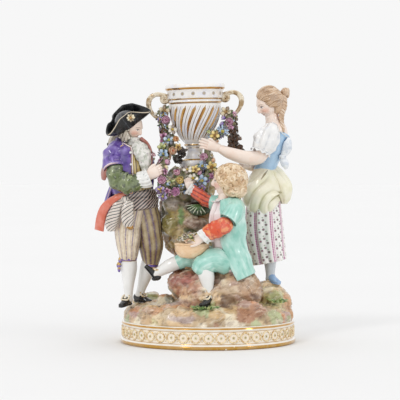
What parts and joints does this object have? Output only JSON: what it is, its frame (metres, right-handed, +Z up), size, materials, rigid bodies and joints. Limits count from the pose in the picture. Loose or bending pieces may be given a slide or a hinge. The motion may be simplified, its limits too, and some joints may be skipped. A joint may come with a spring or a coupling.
{
  "type": "porcelain figure group",
  "caption": "Round porcelain group of figures on rockwork dressing a handled urn with flower garlands, on a low banded plinth.",
  "frame": {"origin": "centre of the plinth's flat underside", "axes": "+Z up, -Y towards the viewer of the figures' front, +X to that viewer's right"},
  "size_m": [0.2, 0.175, 0.2579],
  "materials": {
    "porcelain": "glossy white porcelain with painted colours and gilding"
  },
  "bodies": {
    "root": {"figure_group": "porcelain"}
  },
  "joints": []
}
